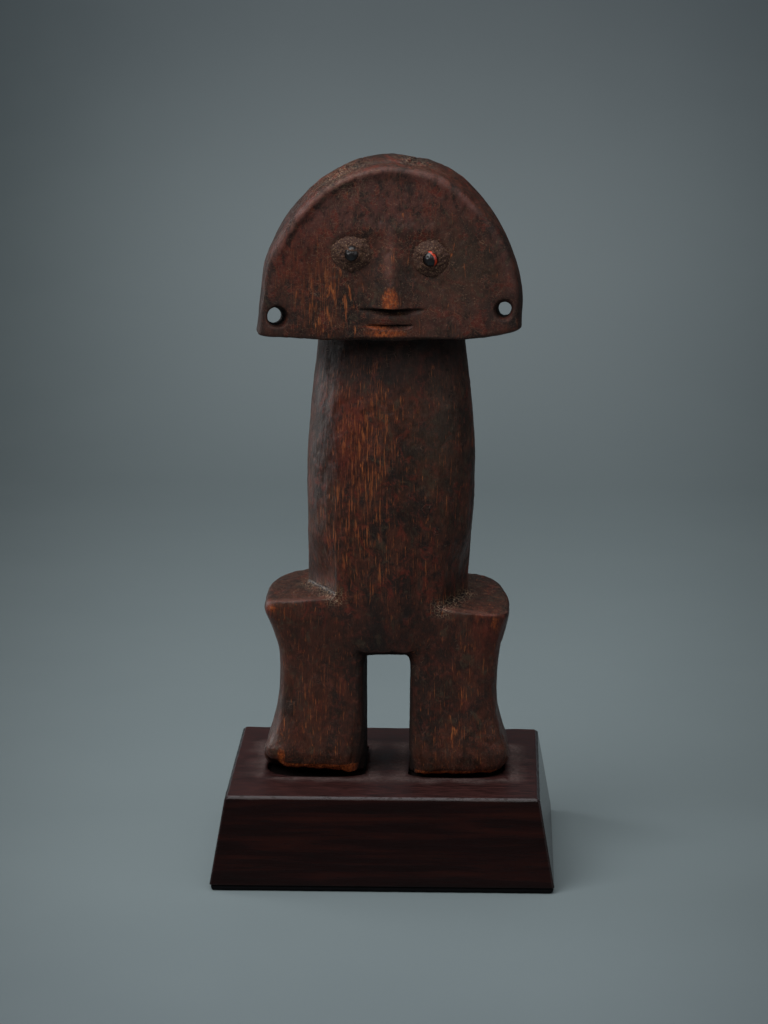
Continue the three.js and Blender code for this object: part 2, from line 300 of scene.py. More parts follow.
class Shader:
    """A node tree with short calls for the nodes that the materials here use."""

    def __init__(self, name):
        self.material = bpy.data.materials.new(name)
        self.material.use_nodes = True
        self.tree = self.material.node_tree
        self.surface = self.tree.nodes["Principled BSDF"]
        self.place = self.add("ShaderNodeTexCoord").outputs["Object"]

    def add(self, kind, **settings):
        node = self.tree.nodes.new(kind)
        for key, value in settings.items():
            setattr(node, key, value)
        return node

    def feed(self, socket, value):
        if isinstance(value, bpy.types.NodeSocket):
            self.tree.links.new(value, socket)
        else:
            socket.default_value = value

    def fill(self, node, **values):
        """Sets or links a node's inputs, by name with _ for a space, and gives back its outputs."""
        for key, value in values.items():
            self.feed(node.inputs[key.replace("_", " ")], value)
        return node.outputs

    def set(self, **values):
        """Constants and links on the surface shader."""
        self.fill(self.surface, **values)

    def math(self, operation, first, second=0.0, clamp=False):
        node = self.add("ShaderNodeMath", operation=operation, use_clamp=clamp)
        self.feed(node.inputs[0], first)
        self.feed(node.inputs[1], second)
        return node.outputs[0]

    def plus(self, first, second, clamp=False):
        return self.math("ADD", first, second, clamp)

    def times(self, first, second, clamp=False):
        return self.math("MULTIPLY", first, second, clamp)

    def stretched(self, size):
        """Object coordinates in cells whose size along X, Y and Z is in millimetres."""
        node = self.add("ShaderNodeMapping")
        return self.fill(node, Vector=self.place, Scale=[1 / (MM * s) for s in size])[0]

    def noise(self, size, detail=3.0, roughness=0.55, distortion=0.0, offset=0.0):
        node = self.add("ShaderNodeTexNoise", noise_dimensions="4D")
        self.fill(node, Vector=self.stretched(size), W=offset, Scale=1.0)
        return self.fill(node, Detail=detail, Roughness=roughness, Distortion=distortion)["Fac"]

    def cell_edges(self, size):
        """The distance from the nearest edge between cells of this size."""
        node = self.add("ShaderNodeTexVoronoi", feature="DISTANCE_TO_EDGE")
        return self.fill(node, Vector=self.stretched(size), Scale=1.0)["Distance"]

    def attribute(self, name):
        return self.add("ShaderNodeAttribute", attribute_name=name).outputs["Fac"]

    def band(self, value, start, end, low=0.0, high=1.0):
        """low before start, high after end, smooth between; start may be above end."""
        node = self.add("ShaderNodeMapRange", interpolation_type="SMOOTHSTEP")
        if start > end:
            start, end, low, high = end, start, high, low
        return self.fill(node, Value=value, From_Min=start, From_Max=end, To_Min=low, To_Max=high)[0]

    def ramp(self, value, *stops):
        """A colour ramp from (position, colour) pairs."""
        node = self.add("ShaderNodeValToRGB")
        self.feed(node.inputs["Fac"], value)
        elements = node.color_ramp.elements
        while len(elements) < len(stops):
            elements.new(0.5)
        for element, (position, colour) in zip(elements, stops):
            element.position = position
            element.color = colour
        return node.outputs["Color"]

    def mix(self, share, first, second):
        node = self.add("ShaderNodeMix", data_type="RGBA")
        self.feed(node.inputs["Factor"], share)
        colours = [s for s in node.inputs if s.type == "RGBA"]
        self.feed(colours[0], first)
        self.feed(colours[1], second)
        return next(s for s in node.outputs if s.type == "RGBA")

    def coats(self, colour, *layers):
        """Layers laid over a colour, each given as how far it covers and its own colour."""
        for share, layer in layers:
            colour = self.mix(share, colour, layer)
        return colour

    def relief(self, *layers):
        """Bumps laid on one another, each given as its pattern and its full height in millimetres."""
        under = {}
        for height, depth in layers:
            node = self.add("ShaderNodeBump")
            surface = self.fill(node, Height=height, Distance=depth * MM, Strength=1.0, **under)[0]
            under = {"Normal": surface}
        return surface


def tint(red, green, blue):
    """An opaque colour written as screen values from 0 to 255, in the linear values that shaders use."""
    screen = np.array([red, green, blue]) / 255
    values = np.where(screen < 0.04045, screen / 12.92, ((screen + 0.055) / 1.055) ** 2.4)
    return (*(float(value) for value in values), 1.0)


# ---- the carved figure

def outline_reach(points):
    """How far out towards the head's outline each point lies: 0 in the middle, 1 at the outline."""
    across = np.abs(points[:, 0] - HEAD_MIDDLE_X) / HEAD_HALF_WIDTH
    up = np.clip(points[:, 2] - HEAD_WIDEST_Z, 0, None) / CROWN_RISE
    return np.sqrt(across ** 2 + up ** 2)


def on_face(points):
    """1 on the flat of the face, 0 on the rest of the figure."""
    return ease(points[:, 1], -26.6, -27.6) * ease(points[:, 2], 144.6, 145.4)


def shelf_edge_distance(points):
    """The distance from each point, seen from the front, to the front edge of its shelf."""
    nearest = np.full(len(points), np.inf)
    for crease in SHELF_CREASES.values():
        nearest = np.minimum(nearest, polyline_distance(points[:, [0, 2]], crease))
    return nearest


def shelf_height(points, side):
    """The height of a hip's shelf at each point's place."""
    (x0, z0), (x1, z1) = SHELF_CREASES[side]
    x, y, _ = points.T
    rise = math.tan(math.radians(SHELF_RISE[side]))
    return z0 + (z1 - z0) * (x - x0) / (x1 - x0) + (y - SHELF_FRONT) * rise


def smooth_the_form(clay):
    """Wears the CAD facets away, and melts the trunk into the hips at front and back."""
    x, y, z = clay.points.T
    across = np.abs(x - LEG_GAP_MIDDLE) - 1.2 * ease(y, -14, -12)
    gap = ease(z, 44, 42) * ease(across, 8.7, 7.6)
    crisp = ease(shelf_edge_distance(clay.points), 0.8, 4) * (1 - gap)
    belly = ease(z, 33, 42) * ease(z, 60, 54) * ease(np.abs(y), 7, 14) * ease(np.abs(x), 22, 16)
    thighs = ease(z, 33, 42) * ease(z, 53, 50) * ease(np.abs(y), 7, 14)
    clay.relax(130, np.maximum(belly, thighs) * crisp)
    x, y, z = clay.points.T
    clay.relax(30, ease(z, 63, 72) * ease(z, 141, 134))
    bores = ease(z, 24, 22) * ease(np.hypot(np.abs(x) - PIN_X, y - PIN_Y), 4, 2.4)
    head = ease(z, 140, 146)
    clay.relax(9, (1 - bores) * (1 - 0.8 * head) * crisp)
    clay.relax(1, 0.5)


def round_the_hips(clay):
    """The hips' outer corners curve away towards the back, where the right shelf rises to the torso."""
    x, y, z = clay.points.T
    height = ease(z, 30, 51) * ease(z, 64, 61)
    pull = 2.0 * ease(x, 20, 40) * ease(y, -2, 16) + 2.5 * ease(-x, 22, 39) * ease(y, 4, 16)
    clay.points[:, 0] -= np.sign(x) * pull * height
    right_shelf = ease(z, 46, 54) * ease(z, 76, 64) * ease(x, 43, 29) * (x > 20)
    clay.points[:, 2] += 1.3 * right_shelf * ease(y, -2, 13)
    fall = ease(z, 50, 57) * ease(np.abs(x), 35, 39)
    clay.relax(10, fall * ease(y, -16, -12))


def slope_above_the_shelves(clay):
    """The torso's corner above each shelf is pared down to a slanting flat."""
    for side, sign in (("left", -1), ("right", 1)):
        inner, outer = np.array(SHELF_ROOTS[side], float)
        along = (outer - inner) / np.linalg.norm(outer - inner)
        outward = np.array((along[1], -along[0])) * sign
        x, y, z = clay.points.T
        beyond = (clay.points[:, :2] - inner) @ outward
        above = ease(z - shelf_height(clay.points, side), 0.2, 1.3) * ease(z, 80, 64)
        near = ease(beyond, 7, 4.5) * ease(y, 2, 0)
        share = np.clip(beyond, 0, None) * above * near * (x * sign > 0)
        clay.points[:, :2] -= share[:, None] * outward


def dress_the_head(clay):
    """Swells the crown, squares the jaw's corners, and rolls the rim that frames the face."""
    x, _, z = clay.points.T
    clay.points[:, 0] -= 1.1 * ease(z, 158, 170) * ease(-x, 5, 22)
    clay.points[:, 0] += 0.3 * ease(z, 158, 170) * ease(x, 5, 22)
    clay.points[:, 2] += 0.3 * ease(z, 188, 198)
    jaw_corner = front_spot(clay.points, -38.5, 145, 4, 3.2)
    clay.points[:, 0] -= 0.9 * jaw_corner
    right_edge = front_spot(clay.points, 43, 150, 6, 5)
    right_corner = front_spot(clay.points, 42, 144.3, 3.5, 2)
    clay.points[:, 0] += 1.0 * right_corner - 0.8 * right_edge
    clay.points[:, 2] += 0.7 * ease(x, 22, 42) * ease(z, 150, 144.5)
    x, y, z = clay.points.T
    reach = outline_reach(clay.points)
    above = ease(z, 160, 186)
    strength = above * (0.35 + 0.65 * ease(x, 20, -2))
    uneven = 1 + 0.6 * layered_noise(clay.points, (9, 9, 9), 13)
    roll = bell(reach, 0.93, 0.03) * ease(y, -25.5, -27.3)
    dish = bell(reach, 0.86, 0.04) * ease(y, -26, -27.6)
    groove = bell(y, -22.6, 1.5) * ease(reach, 0.85, 0.93)
    clay.points[:, 1] += strength * (0.12 * dish - 0.6 * roll * uneven)
    clay.push(strength * uneven * (0.3 * roll - 0.55 * groove))


def eye_hollow(points, eye):
    """How deep the face sinks round an eye."""
    return EYE_HOLLOW_DEPTH * front_spot(points, eye[0], eye[2], *EYE_HOLLOW_SIZE)


def shape_the_face(clay):
    """Lays the middle of the face flat, then raises the nose and sinks the hollows round the eyes."""
    x, y, z = clay.points.T
    reach = outline_reach(clay.points)
    flat = FACE_Y - 0.1 + 0.45 * reach ** 2
    kept, worked = SOCKET_RIM
    sockets = sum(ease(np.hypot(x - eye[0], z - eye[2]), worked, kept) for eye in EYES.values())
    share = ease(y, -25, -27.3) * ease(z, 145.0, 145.8) * ease(z, 190, 185)
    share *= ease(np.abs(x - NOSE_X), 16, 13) * (1 - sockets)
    half_width = 2.8 + 2.8 * ease(z, 177, 156)
    height = 3.9 * ease(z, NOSE_TOP, NOSE_BOTTOM + 1) ** 0.75
    height *= ease(z, NOSE_BOTTOM - 0.35, NOSE_BOTTOM + 0.35)
    nose = height * np.exp(-1.1 * np.abs((x - NOSE_X) / half_width) ** 1.7)
    brow = 0.45 * bell(z, 179.5, 2.6) * ease(np.abs(x - NOSE_X), 20, 14)
    hollows = sum(eye_hollow(clay.points, eye) for eye in EYES.values())
    cheeks = front_spot(clay.points, NOSE_X, 161, 11, 7)
    lips = 0.6 * front_spot(clay.points, NOSE_X - 0.4, 151.3, 6.5, 1.5)
    wanted = flat - nose - brow - lips + hollows + 0.5 * cheeks
    clay.points[:, 1] += share * (wanted - y)


def cut_slit(clay, width, top, height, depth, x_middle=NOSE_X):
    """A knife cut across the face: steep under its straight upper edge, then sloping out.

    Gives back how deep in the cut each point lies, from 0 to 1.
    """
    x, _, z = clay.points.T
    across = (x - x_middle) / (width / 2)
    reach = np.sqrt(np.clip(1 - across ** 2, 0, 1))
    ragged = 0.12 * layered_noise(clay.points, (2.5, 2.5, 2.5), 17)
    drop = top + ragged - z
    cut = ease(drop, -0.3, 0.25) * np.clip(1 - drop / (0.3 + height * reach), 0, 1)
    slit = on_face(clay.points) * reach * cut
    clay.points[:, 1] += depth * slit
    return slit


def tilt_ear_holes(clay):
    """Each hole narrows and runs downwards from the face, the left one outwards too."""
    for side, outwards in (("left", -0.17), ("right", 0.05)):
        centre = EAR_HOLES[side]
        _, y, z = clay.points.T
        offset = clay.points[:, [0, 2]] - centre[[0, 2]]
        away = np.hypot(*offset.T)
        share = ease(away, 6.2, 4.1) * ease(z, 140, 146)
        behind = np.clip(y + 28, 0, 20)
        narrow = (0.3 + 0.025 * behind) / np.maximum(away, 1)
        clay.points[:, 0] += share * (behind * outwards - offset[:, 0] * narrow)
        clay.points[:, 2] -= share * (behind * 0.1 + offset[:, 1] * narrow)


def wear_the_feet(clay):
    """The front of each sole has worn and chipped away, so a dark gap shows under it."""
    x, y, z = clay.points.T
    chips = layered_noise(clay.points, (4, 4, 4), 31)
    front = ease(y, -5, -15)
    left = (2.3 + 1.3 * ease(x, -8, -20)) * front + 2.0 * ease(x, -30, -36) * ease(y, 2, -12)
    left *= ease(x, 0, -6)
    right = ease(x, 0, 6) * (1.9 * front + 2.4 * ease(x, 36, 39.5) * ease(y, 2, -14))
    lift = (left + right) * (1 + 0.18 * chips)
    clay.points[:, 2] += lift * ease(z, 14, SOLE)
    worn_corner = ease(z, 9, 1) * ease(y, -4, -12)
    clay.points[:, 0] -= 1.9 * worn_corner * ease(x, -15, -7.5) * (x < 0)
    clay.points[:, 0] += 1.6 * worn_corner * ease(x, 16, 8.5) * (x > 0)


def hand_carving(clay):
    """Shallow planes left by the knife, longer along the grain, and small dents."""
    points = clay.points
    broad = layered_noise(points, (17, 17, 42), 3)
    facets = np.abs(layered_noise(points, (7, 7, 22), 11, layers=2))
    dents = ease(layered_noise(points, (4, 4, 6), 23), 0.3, 0.8)
    pitted = layered_noise(points, (1.8, 1.8, 3.2), 29, layers=2)
    calm = 1 - 0.55 * on_face(points)
    clay.push(calm * (0.38 * broad - 0.24 * facets) - 0.16 * dents + 0.05 * pitted)


def crack_the_crown(clay):
    """Drying cracks run back over the crown from the front edge, round a knot."""
    x, y, z = clay.points.T
    top = ease(z, 180, 188) * ease(y, -27.6, -25.5)
    cracks = [
        [(9, -27), (8, -20), (10, -13), (8, -5)],
        [(10, -13), (14, -9), (15, -4)],
        [(-7, -24), (-8, -17), (-7, -10)],
        [(-13, -24), (-15, -18), (-14, -12)],
        [(-10, -23), (-12, -19), (-18, -16)],
    ]
    wander = layered_noise(clay.points, (3, 3, 3), 43)[:, None]
    where = clay.points[:, :2] + 0.9 * wander
    groove = np.zeros(len(x))
    for line in cracks:
        groove = np.maximum(groove, bell(polyline_distance(where, line), 0, 0.35))
    knot = np.hypot(x - 6.5, y + 18)
    rings = 0.22 * np.sin(knot * 3.2) * bell(knot, 0, 3)
    flakes = np.abs(layered_noise(clay.points, (2.4, 2.4, 2.4), 47))
    flaking = 0.3 * blob(clay.points, (-14, -20, 192), (9, 6, 7)) * flakes
    clay.push(-top * (0.4 * groove + rings + flaking))


def wear_and_highlight_mask(clay):
    """Where the edges, the front of each shelf and the ridge of the nose are lightened: partly polish from
    hands, partly a painted highlight.
    """
    points = clay.points
    x, y, z = points.T
    edge_distance = shelf_edge_distance(points)
    convex = ease(clay.convexity(5), 0.06, 0.3)
    convex *= np.clip(0.1 + ease(edge_distance, 0.5, 1.5) + ease(y, -16, -13), 0, 1)
    crease = ease(edge_distance, 0.4, 0.1) * ease(y, -13, -16) * ease(np.abs(y + 18), 3, 1.4)
    ridge = 0.5 * bell(x, NOSE_X - 0.7, 1.8) * ease(z, 182, 176) * ease(z, 160, 166)
    return convex + 0.6 * crease + ridge * on_face(points)


def bare_wood(points):
    """Where the patina is gone: the nose, the lips, the jaw's corner, and the hips' and feet's edges."""
    x, y, z = points.T
    sole_front = ease(y, -14, -17)
    left_sole = 1.2 * ease(z, 5.2, 3.2) * ease(x, 0, -5) * ease(x, -38, -34)
    right_sole = 0.7 * ease(z, 3.2, 1.6) * ease(x, 0, 5)
    return sole_front * (left_sole + right_sole) + spots(
        points,
        (1.15, (NOSE_X - 0.3, FACE_Y - 3, 157.6), (2.7, 4, 4.2)),
        (0.8, (NOSE_X - 1.5, FACE_Y, 146.8), (7.5, 5, 1.6)),
        (1.0, (NOSE_X - 4.2, FACE_Y, 149.2), (4, 5, 0.9)),
        (1.0, (-33.5, -17, 7), (1.6, 5, 3.5)),
        (0.7, (-36, -16, 55.4), (2.8, 6, 2.2)),
        (0.7, (35.5, -15, 51), (2.2, 6, 4.5)),
        (0.8, (-38, -22, 145), (3, 5, 2.5)),
    )


def rubbed_grain(points):
    """Where the streaks of the grain show most."""
    return spots(
        points,
        (0.9, (-7, -24, 98), (13, 14, 36)),
        (1.0, (-20, FACE_Y, 159), (11, 8, 17)),
        (0.5, (-27, FACE_Y, 174), (8, 8, 9)),
        (0.5, (-22, -20, 24), (12, 8, 26)),
        (0.6, (24, -20, 22), (12, 8, 20)),
        (0.35, (2, FACE_Y, 185), (18, 8, 9)),
    )


def shelf_tops(points, normals):
    """1 on the flat tops of the hips' shelves."""
    x, y, z = points.T
    level = ease(z, 63, 61.5) * ease(z, 52, 54) * ease(normals[:, 2], 0.6, 0.9)
    return level * ease(y, -18.9, -18.0) * ease(np.abs(x), 17, 22)


def painted_shade_mask(points, normals, slits):
    """Painted shade: in the ear holes, under the jaw, along the head's outline, between the legs, on the
    belly, on the shelf tops and in the mouth's cuts.
    """
    x, y, z = points.T
    painted_shade = sum(blob(points, hole, (6.5, 22, 6.5)) for hole in EAR_HOLES.values())
    painted_shade += ease(z, 122, 140) * ease(z, 147, 143) * ease(y, 10, -10)
    # painted shade along the head's outline
    outline = ease(outline_reach(points), 0.93, 0.99) * ease(z, 143, 147)
    painted_shade += outline * (0.5 * ease(x, -20, -30) + 0.3 * ease(x, 18, 34))
    across = x - LEG_GAP_MIDDLE
    facing_gap = ease(-normals[:, 0] * np.sign(across), 0.3, 1.0) + ease(-normals[:, 2], 0.3, 0.9)
    painted_shade += np.clip(facing_gap, 0, 1) * ease(np.abs(across), 12, 9) * ease(z, 44, 41)
    # painted shade on the belly and on the shelf tops
    painted_shade += 0.5 * blob(points, (1, -20, 50), (16, 9, 10)) + 0.25 * shelf_tops(points, normals)
    painted_shade += ease(slits, 0.4, 0.8)
    return painted_shade


def dry_crust(points, normals):
    """Crumbs of gum and dust: round the eyes, on the crown, on the shelves and at the feet."""
    _, y, z = points.T
    crust = sum(blob(points, eye, (9.5, 6, 8)) for eye in EYES.values())
    crust += spots(points, (0.8, (NOSE_X, FACE_Y, 160), (17, 8, 18)), (0.8, (-12, -20, 192), (10, 7, 8)))
    crust += 0.4 * on_face(points) + 0.8 * shelf_tops(points, normals)
    crust += 0.2 * ease(z, 16, 6) * ease(y, -12, -16)
    return crust


def scratches(points):
    """Where fine pale scratches cross the crown and the roots of the shelves."""
    scratched = spots(points, (1.0, (-12, -21, 194), (8, 8, 6)), (0.7, (9, -18, 199), (6, 6, 5)))
    for side, root in SHELF_ROOTS.items():
        beside = ease(polyline_distance(points[:, :2], root), 4.5, 0.5)
        scratched += beside * ease(np.abs(points[:, 2] - shelf_height(points, side)), 4, 0.8)
    return scratched


def paint_stains(clay):
    """Masks for the hue of the wood: reddened, olive, rosy with a painted sheen, and how even or streaky it
    is.
    """
    points = clay.points
    _, y, z = points.T
    cheek = blob(points, (-17, FACE_Y, 158), (8, 8, 13))
    red = spots(
        points,
        (1.0, (-10, -22, 121), (7, 8, 6)),
        (1.0, (-12, -22, 108), (6, 8, 9)),
        (1.0, (33, -15, 48), (6, 8, 7)),
        (1.0, (-27, FACE_Y, 174), (10, 8, 12)),
    )
    olive = spots(points, (1.0, (25, FACE_Y, 166), (13, 8, 14)), (1.0, (17, -20, 112), (10, 14, 22)))
    # Rosy tone on the forehead, the lower right cheek and the rim, standing partly for a painted sheen.
    rose_and_sheen = spots(
        points,
        (1.0, (3, FACE_Y, 187), (20, 8, 9)),
        (0.7, (-24, FACE_Y, 184), (12, 8, 9)),
        (0.6, (22, FACE_Y, 152), (14, 8, 9)),
    )
    rim = bell(outline_reach(points), 0.93, 0.05) * ease(z, 150, 165)
    clay.paint("cheek", cheek)
    clay.paint("brushed", (1 - on_face(points) * (1 - 0.6 * cheek)) * (1 - 0.45 * ease(z, 66, 48)))
    clay.paint("red", red)
    clay.paint("olive", olive)
    clay.paint("even", olive + ease(z, 60, 44))
    clay.paint("rose_and_sheen", rose_and_sheen * on_face(points) + 0.8 * rim * ease(y, -24, -27))


def paint_figure(clay, slits):
    """Masks that the wood's material reads."""
    normals = clay.normals()
    # edge polish and painted highlight
    clay.paint("wear_and_highlight", wear_and_highlight_mask(clay))
    # Painted shade in the concave hollows.
    clay.paint("hollow", ease(clay.convexity(5), -0.03, -0.22))
    clay.paint("bare", bare_wood(clay.points))
    clay.paint("rubbed", rubbed_grain(clay.points))
    # painted shade mask
    clay.paint("painted_shade", painted_shade_mask(clay.points, normals, slits))
    clay.paint("scratched", scratches(clay.points))
    clay.paint("crust", dry_crust(clay.points, normals))
    paint_stains(clay)


def figure_mesh():
    rough = Clay(remeshed("carved_figure_wood", frame["nodes"]["carved_figure"].data, FIGURE_VOXEL))
    smooth_the_form(rough)
    rough.write()

    def central_face(centres):
        x, y, z = centres.T
        return (y < -25) & (z > 144) & (z < 183) & (np.abs(x - NOSE_X) < 20)

    clay = Clay(refined(rough.mesh, central_face))
    round_the_hips(clay)
    slope_above_the_shelves(clay)
    dress_the_head(clay)
    shape_the_face(clay)
    tilt_ear_holes(clay)
    wear_the_feet(clay)
    hand_carving(clay)
    slits = cut_slit(clay, 20.5, 154.4, 1.7, 1.2)
    slits += cut_slit(clay, 14.5, 149.5, 1.5, 1.8, NOSE_X - 0.4)
    crack_the_crown(clay)
    paint_figure(clay, slits)
    clay.write()
    return clay.mesh


def ground_colour(s, clouds, patches, blotches):
    """The wood's clouded brown, stained red and olive, rosy with a painted sheen and black in places, with
    a fine mottle.
    """
    mottle = s.noise((1.9, 1.9, 2.6), detail=5, roughness=0.7, distortion=0.6, offset=12.0)
    uneven = s.band(s.attribute("even"), 0, 1, 1.0, 0.4)
    colour = s.ramp(
        clouds,
        (0.32, tint(24, 16, 13)),
        (0.45, tint(46, 28, 21)),
        (0.54, tint(70, 37, 26)),
        (0.66, tint(54, 40, 32)),
    )
    return s.coats(
        colour,
        (s.times(s.attribute("red"), s.band(patches, 0.4, 0.55, 0.35, 0.8)), tint(98, 38, 24)),
        (s.times(s.attribute("olive"), 0.55), tint(66, 51, 39)),
        # rosy tone with a painted sheen
        (s.times(s.attribute("rose_and_sheen"), s.band(patches, 0.4, 0.58, 0.8, 0.3)), tint(92, 56, 51)),
        (s.times(s.band(patches, 0.52, 0.61, 0, 0.8), uneven), tint(25, 15, 13)),
        (s.times(s.band(blotches, 0.53, 0.62, 0, 0.65), uneven), tint(102, 40, 28)),
        (s.band(blotches, 0.45, 0.36, 0, 0.6), tint(70, 58, 44)),
        (s.times(s.band(mottle, 0.5, 0.36, 0, 0.6), uneven), tint(20, 12, 10)),
        (s.band(mottle, 0.54, 0.66, 0, 0.45), tint(108, 58, 44)),
    )


def with_grain(s, colour, clouds, fibre, fine_fibre):
    """Fine fibres, orange flames on the cheek, and streaks where the grain has been rubbed clear."""
    brushed = s.band(s.attribute("brushed"), 0, 1, 0.3, 1.0)
    light_fibre = s.times(s.band(fine_fibre, 0.52, 0.68, 0, 0.3), brushed)
    dark_fibre = s.times(s.band(fine_fibre, 0.48, 0.34, 0, 0.45), brushed)
    streak_colour = s.ramp(
        fine_fibre, (0.35, tint(96, 44, 22)), (0.5, tint(140, 72, 36)), (0.68, tint(186, 114, 64))
    )
    flame = s.noise((1.4, 1.4, 8), roughness=0.5, distortion=0.7, offset=6.0)
    flames = s.band(s.plus(flame, s.times(s.attribute("cheek"), 0.13)), 0.66, 0.73)
    flames = s.times(flames, s.band(fine_fibre, 0.34, 0.52, 0.25, 0.85))
    reach = s.plus(s.times(s.attribute("rubbed"), 0.11), s.times(clouds, 0.34))
    streaks = s.band(s.plus(fibre, reach), 0.78, 0.87)
    return s.coats(
        colour,
        (light_fibre, tint(92, 54, 38)),
        (dark_fibre, tint(20, 13, 11)),
        (flames, streak_colour),
        (s.times(streaks, s.times(brushed, 0.65)), streak_colour),
    )


def with_bare_wood(s, colour, fine_fibre, patches):
    """Orange-brown wood where the patina is torn off along the grain, and pale polish with a painted
    highlight on the edges.
    """
    torn = s.plus(s.times(fine_fibre, 0.5), s.times(patches, 0.9))
    raw = s.band(s.plus(torn, s.attribute("bare")), 1.0, 1.4)
    raw_colour = s.ramp(
        s.noise((0.7, 0.7, 1.1), detail=4, roughness=0.75, offset=9.0),
        (0.36, tint(62, 28, 18)),
        (0.5, tint(138, 62, 26)),
        (0.66, tint(188, 104, 48)),
    )
    # Pale polish with a painted highlight on the rim, the shelves' front edges and the nose ridge.
    polish_and_highlight = s.times(s.attribute("wear_and_highlight"), s.band(patches, 0.3, 0.6, 0.4, 0.9))
    return s.coats(colour, (s.times(raw, 0.85), raw_colour), (s.times(polish_and_highlight, 0.5), tint(150, 98, 86)))


def figure_wood():
    """Dark handled hardwood with red-brown grain showing through a nearly black patina."""
    s = Shader("figure_wood")
    painted_shade, crust = s.attribute("painted_shade"), s.attribute("crust")
    clouds = s.noise((14, 14, 22), detail=6, roughness=0.65, distortion=0.8)
    patches = s.noise((5, 5, 8), detail=5, roughness=0.65, distortion=0.9, offset=2.0)
    blotches = s.noise((6, 6, 7), detail=6, roughness=0.7, distortion=1.4, offset=5.0)
    fibre = s.noise((0.5, 0.5, 8), roughness=0.6, distortion=0.2)
    fine_fibre = s.noise((0.32, 0.32, 4), roughness=0.7, offset=4.0)
    colour = ground_colour(s, clouds, patches, blotches)
    colour = with_grain(s, colour, clouds, fibre, fine_fibre)
    colour = with_bare_wood(s, colour, fine_fibre, patches)
    # Painted shade: darker in the concave hollows, the ear holes, under the jaw, between the legs and in
    # the cuts.
    dark = s.math("MAXIMUM", s.times(s.attribute("hollow"), 0.85), s.times(painted_shade, 0.75), clamp=True)
    scuffs = s.band(s.cell_edges((3.4, 9, 1.3)), 0.025, 0.0)
    scuffs = s.times(scuffs, s.band(patches, 0.54, 0.66))
    grit = s.noise((0.6, 0.6, 0.7), detail=4, roughness=0.75, offset=9.0)
    threads = s.band(s.cell_edges((1.5, 1.5, 1.1)), 0.035, 0.0)
    threads = s.times(threads, s.band(blotches, 0.45, 0.6))
    crumbs = s.times(s.math("MAXIMUM", s.band(grit, 0.58, 0.66), threads), crust, clamp=True)
    hairs = s.band(s.cell_edges((1.1, 2.6, 0.9)), 0.06, 0.0)
    hairs = s.times(s.times(hairs, s.attribute("scratched")), s.band(grit, 0.4, 0.55))
    colour = s.coats(
        colour,
        (dark, tint(19, 12, 10)),
        (s.times(scuffs, 0.3), tint(150, 120, 100)),
        (s.times(crumbs, 0.65), tint(164, 130, 98)),
        (s.times(hairs, 0.75), tint(196, 166, 134)),
    )
    rough = s.plus(s.band(patches, 0.35, 0.65, 0.36, 0.54), s.times(crust, 0.12))
    rough = s.plus(rough, s.times(painted_shade, 0.35), clamp=True)
    pits = s.noise((1.3, 1.3, 1.8), detail=5, roughness=0.6, offset=8.0)
    relief = s.relief((fibre, 0.16), (fine_fibre, 0.08), (pits, 0.16), (crumbs, 0.12))
    s.set(Base_Color=colour, Roughness=rough, Normal=relief, Specular_IOR_Level=0.3)
    return s.material


# ---- eyes

# Half-width, half-height and lean of the crust, how wide the seed shows in it, and how much gum lids it.
CRUSTS = {"left": (7.0, 5.8, -0.4, 2.15, 0.5), "right": (6.0, 5.9, 0.0, 2.4, 0.12)}
CRUST_LIP = 0.35
CRUST_ROOT = 1.0  # the crust's edge ends this deep in the wood
CRUST_STEM_RADIUS = 4.7  # of the gum inside the socket


def seed_shape(side):
    """The middle of a seed, set back a little in its seat, and its half-sizes."""
    low, high = local_box(f"eye_seed_{side}")
    return (low + high) / 2 + (0, 0.35, 0), (high - low) / 2 * (1.04, 0.98, 1.1)


